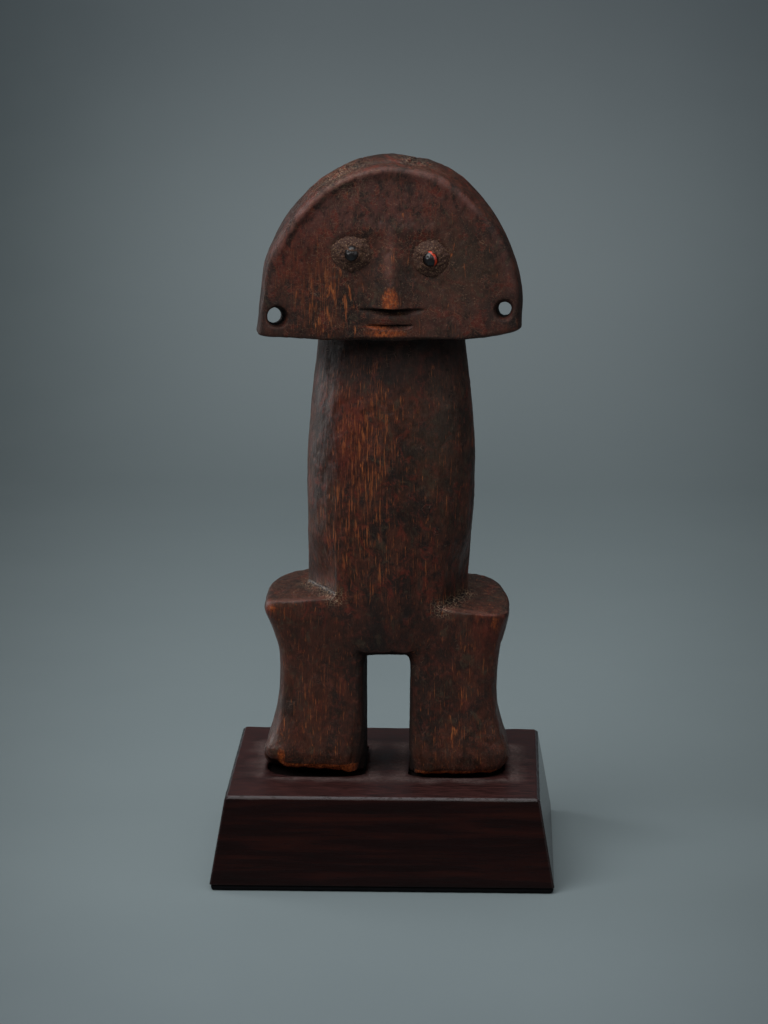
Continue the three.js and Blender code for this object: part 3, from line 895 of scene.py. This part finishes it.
def resin_mesh(side):
    """A crusted collar of gum that laps over the seed's edge and thins out over the face."""
    eye = EYES[side]
    half_width, half_height, lean, opening, lid = CRUSTS[side]
    back = 0.2 - local_box(f"eye_resin_{side}")[1][1]
    centre, half = seed_shape(side)
    seat = half[2] + 0.1
    sides, rings = 96, 22
    angles = np.arange(sides) * 2 * math.pi / sides
    mouth = opening * (1 - lid * np.clip(np.sin(angles), 0, 1) ** 2)
    bm = bmesh.new()

    def centre_point(forward):
        return [bm.verts.new((eye[0], -forward, eye[2]))]

    def ring(radius_x, radius_z, forward, shift=0.0):
        forward = np.broadcast_to(forward, sides)
        places = zip(radius_x * np.cos(angles) + shift, radius_z * np.sin(angles), forward)
        return [bm.verts.new((eye[0] + x, -f, eye[2] + z)) for x, z, f in places]

    def on_seed(radius):
        return -centre[1] + (half[1] + 0.05) * np.sqrt(1 - (radius / seat) ** 2)

    stack = [centre_point(-FACE_Y - 2.7), ring(seat * 0.75, seat * 0.75, -FACE_Y - 2.1)]
    for share in (0, 0.4, 0.75, 1):
        radius = seat + (mouth - seat) * share
        stack.append(ring(radius, radius, on_seed(radius)))
    crest = on_seed(mouth) + CRUST_LIP + FACE_Y
    for t in np.linspace(0, 1, rings):
        radius_x = mouth + (half_width - mouth) * t
        radius_z = mouth + (half_height - mouth) * t
        rim = eye + np.stack([radius_x * np.cos(angles), 0 * angles, radius_z * np.sin(angles)], axis=1)
        height = crest * (1 - t) ** 1.1 - eye_hollow(rim, eye) - CRUST_ROOT * t ** 9
        stack.append(ring(radius_x, radius_z, height - FACE_Y, lean * t))
    stem = (CRUST_STEM_RADIUS, CRUST_STEM_RADIUS)
    stack += [ring(*stem, -FACE_Y - 2.3), ring(*stem, back), centre_point(back)]
    bridge(bm, stack, sides)
    bmesh.ops.translate(bm, verts=bm.verts, vec=(0, 0, BASE_TOP))
    bmesh.ops.scale(bm, verts=bm.verts, vec=(MM, MM, MM))
    clay = Clay(mesh_from(bm, f"eye_resin_{side}_crust"))
    offset = clay.points - eye
    away = np.hypot(offset[:, 0] / half_width, offset[:, 2] / half_height)
    beside_seed = np.hypot(offset[:, 0], offset[:, 2])
    seed = 51 if side == "left" else 61
    crumbs = layered_noise(clay.points, (0.9, 0.9, 0.9), seed)
    ragged = layered_noise(clay.points, (3, 3, 3), seed + 20)
    outside = ease(clay.points[:, 1], FACE_Y + 2.2, FACE_Y + 1.9)
    free = ease(beside_seed, opening * 0.5, opening)
    thin = 1 - 0.6 * ease(away, 0.45, 0.95)
    clay.points[:, 1] -= outside * free * thin * (0.4 * crumbs + 0.4 * ragged)
    spread = 0.16 * outside * ease(away, 0.6, 1.0) * np.abs(ragged + 0.8 * crumbs)
    clay.points[:, [0, 2]] += offset[:, [0, 2]] * spread[:, None]
    clay.paint("rim", ease(away, 0.35, 0.8))
    clay.paint("ring", ease(away, 0.35, 0.6) * ease(away, 1.05, 0.85))
    clay.paint("dusty", ease(crumbs, -0.1, 0.5) * outside)
    clay.write()
    return clay.mesh


def gum():
    """Dry, crumbled tree gum, brown-black with pale specks."""
    s = Shader("eye_gum")
    grains = s.noise((0.8, 0.8, 0.8), detail=5, roughness=0.7)
    fine = s.noise((0.45, 0.45, 0.45), offset=3.0)
    specks = s.band(s.plus(fine, s.times(s.attribute("ring"), 0.04)), 0.58, 0.7)
    colour = s.ramp(grains, (0.3, tint(24, 16, 13)), (0.5, tint(60, 39, 31)), (0.7, tint(98, 66, 50)))
    colour = s.coats(
        colour,
        (s.times(s.attribute("dusty"), 0.4), tint(112, 80, 58)),
        (s.times(s.attribute("rim"), 0.8), tint(66, 42, 34)),
        (s.times(specks, 0.6), tint(158, 126, 96)),
    )
    s.set(Base_Color=colour, Roughness=s.band(grains, 0.3, 0.7, 0.55, 0.9), Normal=s.relief((grains, 0.3)))
    s.set(Specular_IOR_Level=0.3)
    return s.material


def seed_mesh(side):
    """An egg-shaped seed, a little flattened, with the faint pit of its stalk scar."""
    centre, half = seed_shape(side)
    bm = bmesh.new()
    bmesh.ops.create_icosphere(bm, subdivisions=5, radius=1.0)
    bmesh.ops.scale(bm, verts=bm.verts, vec=(MM, MM, MM))
    bmesh.ops.translate(bm, verts=bm.verts, vec=(0, 0, BASE_TOP * MM))
    clay = Clay(mesh_from(bm, f"eye_seed_{side}_coat"))
    unit = clay.points.copy()
    swell = 1 + 0.02 * unit[:, [2]]
    scar = np.exp(-np.sum((unit - np.array((-0.35, -0.9, 0.25))) ** 2, axis=1) / 0.03)
    clay.points = centre + unit * half * (swell - 0.05 * scar[:, None])
    clay.write()
    return clay.mesh


def seed_coat(side):
    """A glossy black seed whose far side is scarlet; on the right one the scarlet shows as a band past the
    black cap and the rest stays black as painted shade; the left one has darkened all over.
    """
    s = Shader(f"seed_coat_{side}")
    eye = (EYES[side] + (0, 0, BASE_TOP)) * MM
    offset = s.add("ShaderNodeVectorMath", operation="SUBTRACT")
    s.feed(offset.inputs[0], s.place)
    offset.inputs[1].default_value = eye
    towards = s.add("ShaderNodeVectorMath", operation="DOT_PRODUCT")
    s.feed(towards.inputs[0], offset.outputs[0])
    half_width = seed_shape(side)[1][0] * MM
    towards.inputs[1].default_value = Vector((0.62, 0.74, 0.25)).normalized() / half_width
    along = s.plus(towards.outputs["Value"], s.times(s.noise((1.5, 1.5, 1.5)), 0.12))
    red = s.ramp(s.noise((1.2, 1.2, 1.2), detail=4), (0.35, tint(150, 26, 12)), (0.65, tint(226, 74, 28)))
    # On the right seed the scarlet shows only as a band; beyond it the seed stays black as painted shade on
    # its far side.
    share = 0.0
    if side == "right":
        share = s.times(s.band(along, -0.3, -0.26), s.band(along, 0.1, -0.02))
    black = s.ramp(s.noise((0.8, 0.8, 0.8), detail=4), (0.3, tint(10, 8, 8)), (0.7, tint(28, 22, 22)))
    relief = s.relief((s.noise((0.7, 0.7, 0.7)), 0.02))
    s.set(Base_Color=s.mix(share, black, red), Roughness=0.34, Normal=relief)
    s.set(Coat_Weight=0.2, Coat_Roughness=0.12)
    return s.material


# ---- the stand

BASE_LOW, BASE_HIGH = local_box("display_base")
BASE_EDGE = 0.9  # chamfer round the top
BASE_SPLAY = 4.85  # how far each side runs out from top to bottom
SPLAY_ANGLE = math.atan2(BASE_SPLAY, BASE_HIGH[2] - BASE_LOW[2])
BASE_TOP_HALF = BASE_HIGH[:2] - BASE_SPLAY
BASE_GRID = 1.7
RECESS_DEPTH = 1.5
RECESSES_ACROSS = ((-39.2, -6.2), (7.4, 39.4))
RECESS_MIDDLE_Y, RECESS_HALF_Y = -0.7, 18.5
FEET_X = (-22.8, 23.8)
FOOT_HALF_SIZE = (16.2, 18.4)


def gridded_base():
    """The CAD block with close lines cut into it along the grid and beside every edge."""
    bm = bmesh.new()
    bm.from_mesh(frame["nodes"]["display_base"].data)
    bmesh.ops.remove_doubles(bm, verts=bm.verts, dist=0.001 * MM)
    planes = []
    for axis in range(3):
        normal = np.eye(3)[axis]
        reach = np.arange(BASE_LOW[axis] + 1, BASE_HIGH[axis] - 0.5, BASE_GRID)
        planes += [(normal * place, normal) for place in reach]
    for height in (-0.12, -BASE_EDGE + 0.12, -BASE_EDGE - 0.2, BASE_LOW[2] + 0.2):
        planes.append((np.array((0, 0, height)), np.array((0, 0, 1.0))))
    for axis in range(2):
        for sign in (-1, 1):
            normal = np.array((0.0, 0.0, math.sin(SPLAY_ANGLE)))
            normal[axis] = sign * math.cos(SPLAY_ANGLE)
            corner = np.zeros(3)
            corner[axis] = sign * BASE_TOP_HALF[axis]
            for inward in (0.2, 0.7, 1.15, 1.4):
                planes.append((corner - normal * inward, normal))
    for place, normal in planes:
        geometry = bm.verts[:] + bm.edges[:] + bm.faces[:]
        where = (place + (0, 0, BASE_TOP)) * MM
        bmesh.ops.bisect_plane(bm, geom=geometry, plane_co=where, plane_no=normal, dist=0.005 * MM)
    return mesh_from(bm, "display_base_wood")


def tighter_recess(points):
    """How far each point moves in plan so that the recesses close up round the worn feet."""
    x, y, z = points.T
    move = np.zeros((len(points), 2))
    front = RECESS_MIDDLE_Y - RECESS_HALF_Y
    for low, high in RECESSES_ACROSS:
        centre = (low + high) / 2
        share = (x - centre) / ((high - low) / 2)
        near = ease(np.abs(y - RECESS_MIDDLE_Y), RECESS_HALF_Y + 4, RECESS_HALF_Y)
        near *= ease(np.abs(share), 1.16, 1.0) * (z > -RECESS_DEPTH - 0.05)
        share = np.clip(share, -1, 1)
        outer_side = share * np.sign(centre) > 0
        move[:, 0] -= near * share ** 3 * np.where(outer_side, 0.6, 0.15)
        move[:, 1] += near * ease(y, RECESS_MIDDLE_Y, front) * (0.3 + 3.8 * share ** 4)
    return move


def base_mesh():
    """A block whose crisp edges have been softened and knocked a little, dusty round the feet."""
    clay = Clay(gridded_base())
    x, y, z = clay.points.T
    side_gap = BASE_TOP_HALF - np.abs(clay.points[:, :2]) - (z * math.tan(SPLAY_ANGLE))[:, None]
    nearest_side = side_gap.min(axis=1)
    clay.points[:, :2] += tighter_recess(clay.points)
    chamfer = ease(nearest_side, 1.3, 1.0) * ease(z, -1.2, -0.85)
    corner = ease(side_gap.max(axis=1), 0.5, 0.2)
    clay.relax(1, 0.8 * np.maximum(chamfer, corner))
    knocks = layered_noise(clay.points, (5, 5, 2), 15)
    clay.push(0.09 * chamfer * knocks)
    in_recess = ease(z, -0.1, -0.6) * ease(nearest_side, 2, 3) * ease(z, -3, -2)
    # Painted highlight along the top chamfer and at the corners.
    upper_edge = chamfer * ease(z, -0.75, -0.45) * ease(z, -0.02, -0.2)
    clay.paint("wear_and_highlight", np.maximum(upper_edge, 0.5 * corner))
    # Painted shade in the foot recesses.
    clay.paint("recess", in_recess)
    beside = np.minimum(*(np.abs(x - foot) for foot in FEET_X)) - FOOT_HALF_SIZE[0]
    before = np.abs(y - RECESS_MIDDLE_Y) - FOOT_HALF_SIZE[1]
    beyond = np.hypot(np.clip(beside, 0, None), np.clip(before, 0, None))
    drift = layered_noise(clay.points, (9, 9, 9), 91)
    dust = ease(beyond + 3.5 * drift, 7.5, 0.5) * ease(beyond, 0.2, 0.9)
    between = blob(clay.points, (1, -20, 0), (9, 5, 4))
    on_top = ease(z, -0.2, -0.05)
    clay.paint("dust", (dust + between * (0.6 + drift)) * on_top)
    clay.paint("on_top", on_top)
    clay.write()
    return clay.mesh


def base_wood():
    """Stained hardwood with close grain along X under a semi-gloss lacquer rubbed by use, dusty on top,
    with a painted highlight along the top edge and painted shade in the foot recesses.
    """
    s = Shader("base_wood")
    wear_and_highlight, dust, recess, on_top = (s.attribute(name) for name in ("wear_and_highlight", "dust", "recess", "on_top"))
    grain = s.noise((60, 3.5, 3.5), detail=5, roughness=0.6, distortion=0.4)
    pores = s.noise((5, 0.45, 0.45), roughness=0.6, offset=3.0)
    clouds = s.noise((30, 18, 12), offset=5.0)
    colour = s.ramp(
        grain,
        (0.32, tint(17, 9, 8)),
        (0.5, tint(26, 12, 11)),
        (0.66, tint(42, 18, 14)),
        (0.8, tint(30, 14, 12)),
    )
    top_colour = s.ramp(pores, (0.36, tint(28, 14, 14)), (0.5, tint(56, 28, 27)), (0.64, tint(84, 46, 43)))
    # Painted highlight along the top edge, broken by nicks.
    edge_highlight = s.times(wear_and_highlight, s.band(s.noise((1.4, 1.4, 0.7), offset=7.0), 0.62, 0.5, 0.0, 0.3))
    powder = s.noise((0.8, 0.8, 0.8), detail=5, roughness=0.75, offset=9.0)
    film = s.times(dust, s.band(powder, 0.35, 0.6, 0.15, 0.75))
    specks = s.times(s.band(powder, 0.63, 0.7), dust)
    colour = s.coats(
        colour,
        (s.band(pores, 0.56, 0.68, 0, 0.6), tint(14, 7, 6)),
        (s.band(clouds, 0.4, 0.7, 0, 0.4), tint(26, 12, 11)),
        (s.times(on_top, 0.6), top_colour),
        (edge_highlight, tint(116, 108, 112)),
        # painted shade in the foot recesses
        (s.times(recess, 0.75), tint(16, 10, 9)),
        (s.times(film, 0.45), tint(132, 116, 112)),
        (s.times(specks, 0.8), tint(190, 180, 174)),
    )
    gloss = s.band(pores, 0.4, 0.7, 0.16, 0.26)
    rough = s.plus(gloss, s.times(on_top, 0.3))
    rough = s.plus(rough, s.times(dust, 0.25))
    rough = s.plus(rough, s.times(recess, 0.4), clamp=True)
    relief = s.relief((pores, 0.02), (grain, 0.04))
    s.set(Base_Color=colour, Roughness=rough, Normal=relief, Specular_IOR_Level=0.22)
    return s.material


def pin_mesh(side):
    """A drawn rod with a chamfered end, a domed top and fine turning marks."""
    low, high = local_box(f"mount_pin_{side}")
    radius = (high[0] - low[0]) / 2
    top = high[2]
    profile = [(0, low[2]), (radius - 0.5, low[2]), (radius, low[2] + 0.5)]
    marks = 40
    for mark in range(marks):
        height = low[2] + 1 + (top - low[2] - 2.2) * mark / marks
        profile += [(radius, height), (radius - 0.02, height + 0.3)]
    dome = [math.radians(angle) for angle in (15, 40, 65)]
    profile += [(radius - 0.7 + 0.7 * math.cos(a), top - 0.7 + 0.7 * math.sin(a)) for a in dome]
    profile.append((0, top))
    centre = ((low[0] + high[0]) / 2, (low[1] + high[1]) / 2, 0)
    return lathe_mesh(f"mount_pin_{side}_rod", profile, 40, centre)


def pin_steel():
    s = Shader("pin_steel")
    scratches = s.noise((1.6, 1.6, 0.12))
    tarnish = s.noise((4, 4, 7), detail=4, offset=2.0)
    colour = s.ramp(tarnish, (0.35, tint(120, 112, 104)), (0.6, tint(176, 174, 172)))
    s.set(Base_Color=colour, Metallic=1.0, Roughness=s.band(scratches, 0.3, 0.7, 0.25, 0.45))
    s.set(Normal=s.relief((scratches, 0.02)))
    return s.material


def felt_mesh():
    """A cut sheet of felt whose edge is slightly uneven and furry."""
    clay = Clay(remeshed("base_felt_sheet", frame["nodes"]["base_felt_pad"].data, 0.8))
    clay.relax(1)
    x, y, z = clay.points.T
    low, high = local_box("base_felt_pad")
    rim = ease(np.maximum(np.abs(x) - high[0], np.abs(y) - high[1]), -1.6, -0.4)
    shift = (0.35 + 0.15 * layered_noise(clay.points, (2.5, 2.5, 2.5), 41)) * rim
    clay.points[:, 0] += shift * np.sign(x)
    clay.points[:, 1] += shift * np.sign(y)
    clay.points[:, 2] = np.clip(z, low[2], high[2])
    clay.write()
    return clay.mesh


def black_felt():
    s = Shader("black_felt")
    fibres = s.noise((0.5, 0.5, 0.5), detail=5, roughness=0.8, distortion=1.2)
    colour = s.ramp(fibres, (0.3, tint(5, 5, 6)), (0.7, tint(20, 20, 22)))
    s.set(Base_Color=colour, Roughness=0.95, Normal=s.relief((fibres, 0.3)), Specular_IOR_Level=0.1)
    return s.material


# ---- studio

def backdrop():
    """A sweep of pale paper: a floor that curves up behind the object."""
    bm = bmesh.new()
    floor_z = 0.0
    bend, far, tall, half_width = 0.5, 1.1, 2.4, 3.0
    line = [(-3.0, floor_z), (far - bend, floor_z)]
    for step in range(1, 17):
        angle = math.radians(90 * step / 16)
        line.append((far - bend + bend * math.sin(angle), floor_z + bend * (1 - math.cos(angle))))
    line.append((far, tall))
    rows = [[bm.verts.new((x, y, z)) for x in (-half_width, half_width)] for y, z in line]
    for low, high in zip(rows, rows[1:]):
        bm.faces.new((low[0], low[1], high[1], high[0]))
    mesh = mesh_from(bm, "paper_sweep")
    mesh.shade_smooth()
    mesh.materials.append(paper())
    new_object("paper_sweep", mesh)


def paper():
    """Grey-green paper with painted light: a painted pool of light in a lane that widens away from the
    camera, a painted glow on the far floor, and painted shade at its edges, near the camera, up the wall
    and to the right.
    """
    s = Shader("paper")
    place = s.add("ShaderNodeSeparateXYZ")
    s.feed(place.inputs[0], s.place)
    x, y, z = place.outputs
    across = s.math("ABSOLUTE", x)
    lane = s.plus(s.times(y, 0.1), 0.14)
    spread = s.math("DIVIDE", across, lane)
    # Painted pool of light down the middle, fading to painted shade at the sides.
    shade = s.ramp(s.band(spread, 0.35, 1.6), (0.0, tint(122, 134, 137)), (1.0, tint(80, 89, 91)))
    # Painted glow on the far floor.
    glow = s.times(s.band(y, 0.5, 0.9), s.band(spread, 0.2, 1.2, 0.6, 0.0))
    # Painted shade on the right of the far floor and wall.
    far_right = s.times(s.band(x, -0.08, 0.2, 0, 0.17), s.band(y, 0.5, 0.8))
    mottle = s.band(s.noise((60, 60, 60), detail=2), 0.3, 0.7, 0.0, 0.03)
    colour = s.coats(
        shade,
        (glow, tint(154, 164, 167)),
        # painted shade on the near floor
        (s.band(y, 0.0, -0.2, 0.0, 0.4), tint(84, 93, 98)),
        # painted shade up the wall
        (s.band(z, 0.06, 0.24, 0.0, 0.5), tint(66, 74, 80)),
        (far_right, tint(66, 74, 80)),
        (mottle, tint(150, 160, 160)),
    )
    s.set(Base_Color=colour, Roughness=0.95, Specular_IOR_Level=0.2)
    return s.material


def soft_light(name, place, target, size, watts, spread=180):
    data = bpy.data.lights.new(name, "AREA")
    data.shape = "RECTANGLE"
    data.size, data.size_y = size
    data.energy = watts
    data.spread = math.radians(spread)
    obj = new_object(name, data)
    obj.location = place
    obj.rotation_mode = "QUATERNION"
    obj.rotation_quaternion = (Vector(target) - Vector(place)).to_track_quat("-Z", "Y")


def studio():
    aim = (0, 0, 0.12)
    soft_light("key", (-0.6, -0.65, 1.0), aim, (0.9, 0.9), 9.5)
    soft_light("overhead", (0.0, 0.0, 1.2), aim, (0.9, 0.9), 6)
    soft_light("left_sheen", (-1.0, 0.45, 0.35), aim, (0.5, 0.9), 0.9, spread=60)
    soft_light("front_fill", (0.35, -1.2, 1.0), aim, (0.8, 0.8), 2.2)
    soft_light("right_fill", (1.0, -0.5, 0.5), aim, (0.8, 0.8), 1.5)
    world = bpy.data.worlds.new("studio")
    world.use_nodes = True
    background = world.node_tree.nodes["Background"]
    background.inputs["Color"].default_value = (0.8, 0.9, 1.0, 1.0)
    background.inputs["Strength"].default_value = 0.06
    scene = bpy.context.scene
    scene.world = world
    scene.view_settings.view_transform = "Standard"
    scene.view_settings.exposure = 0.0


def camera():
    data = bpy.data.cameras.new("camera")
    data.sensor_width = 36
    data.lens = 123.05
    data.clip_start, data.clip_end = 0.05, 20
    obj = new_object("camera", data)
    obj.location = (0.0366, -1.1092, 0.3189 + BASE_TOP * MM)
    obj.rotation_euler = (math.radians(90 - 11.96), 0, math.radians(1.93))
    bpy.context.scene.camera = obj


def main():
    camera()
    finished_piece("doll_carving", figure_mesh(), figure_wood(), "figure", "carved_figure")
    crust = gum()
    for side in ("left", "right"):
        finished_piece(f"resin_{side}", resin_mesh(side), crust, "figure", f"eye_resin_{side}")
        coat = seed_coat(side)
        finished_piece(f"seed_{side}", seed_mesh(side), coat, "figure", f"eye_seed_{side}")
    finished_piece("stand_block", base_mesh(), base_wood(), "stand", "display_base")
    steel = pin_steel()
    for side in ("left", "right"):
        finished_piece(f"pin_{side}", pin_mesh(side), steel, "stand", f"mount_pin_{side}")
    finished_piece("felt_sheet", felt_mesh(), black_felt(), "stand", "base_felt_pad")
    backdrop()
    studio()


main()
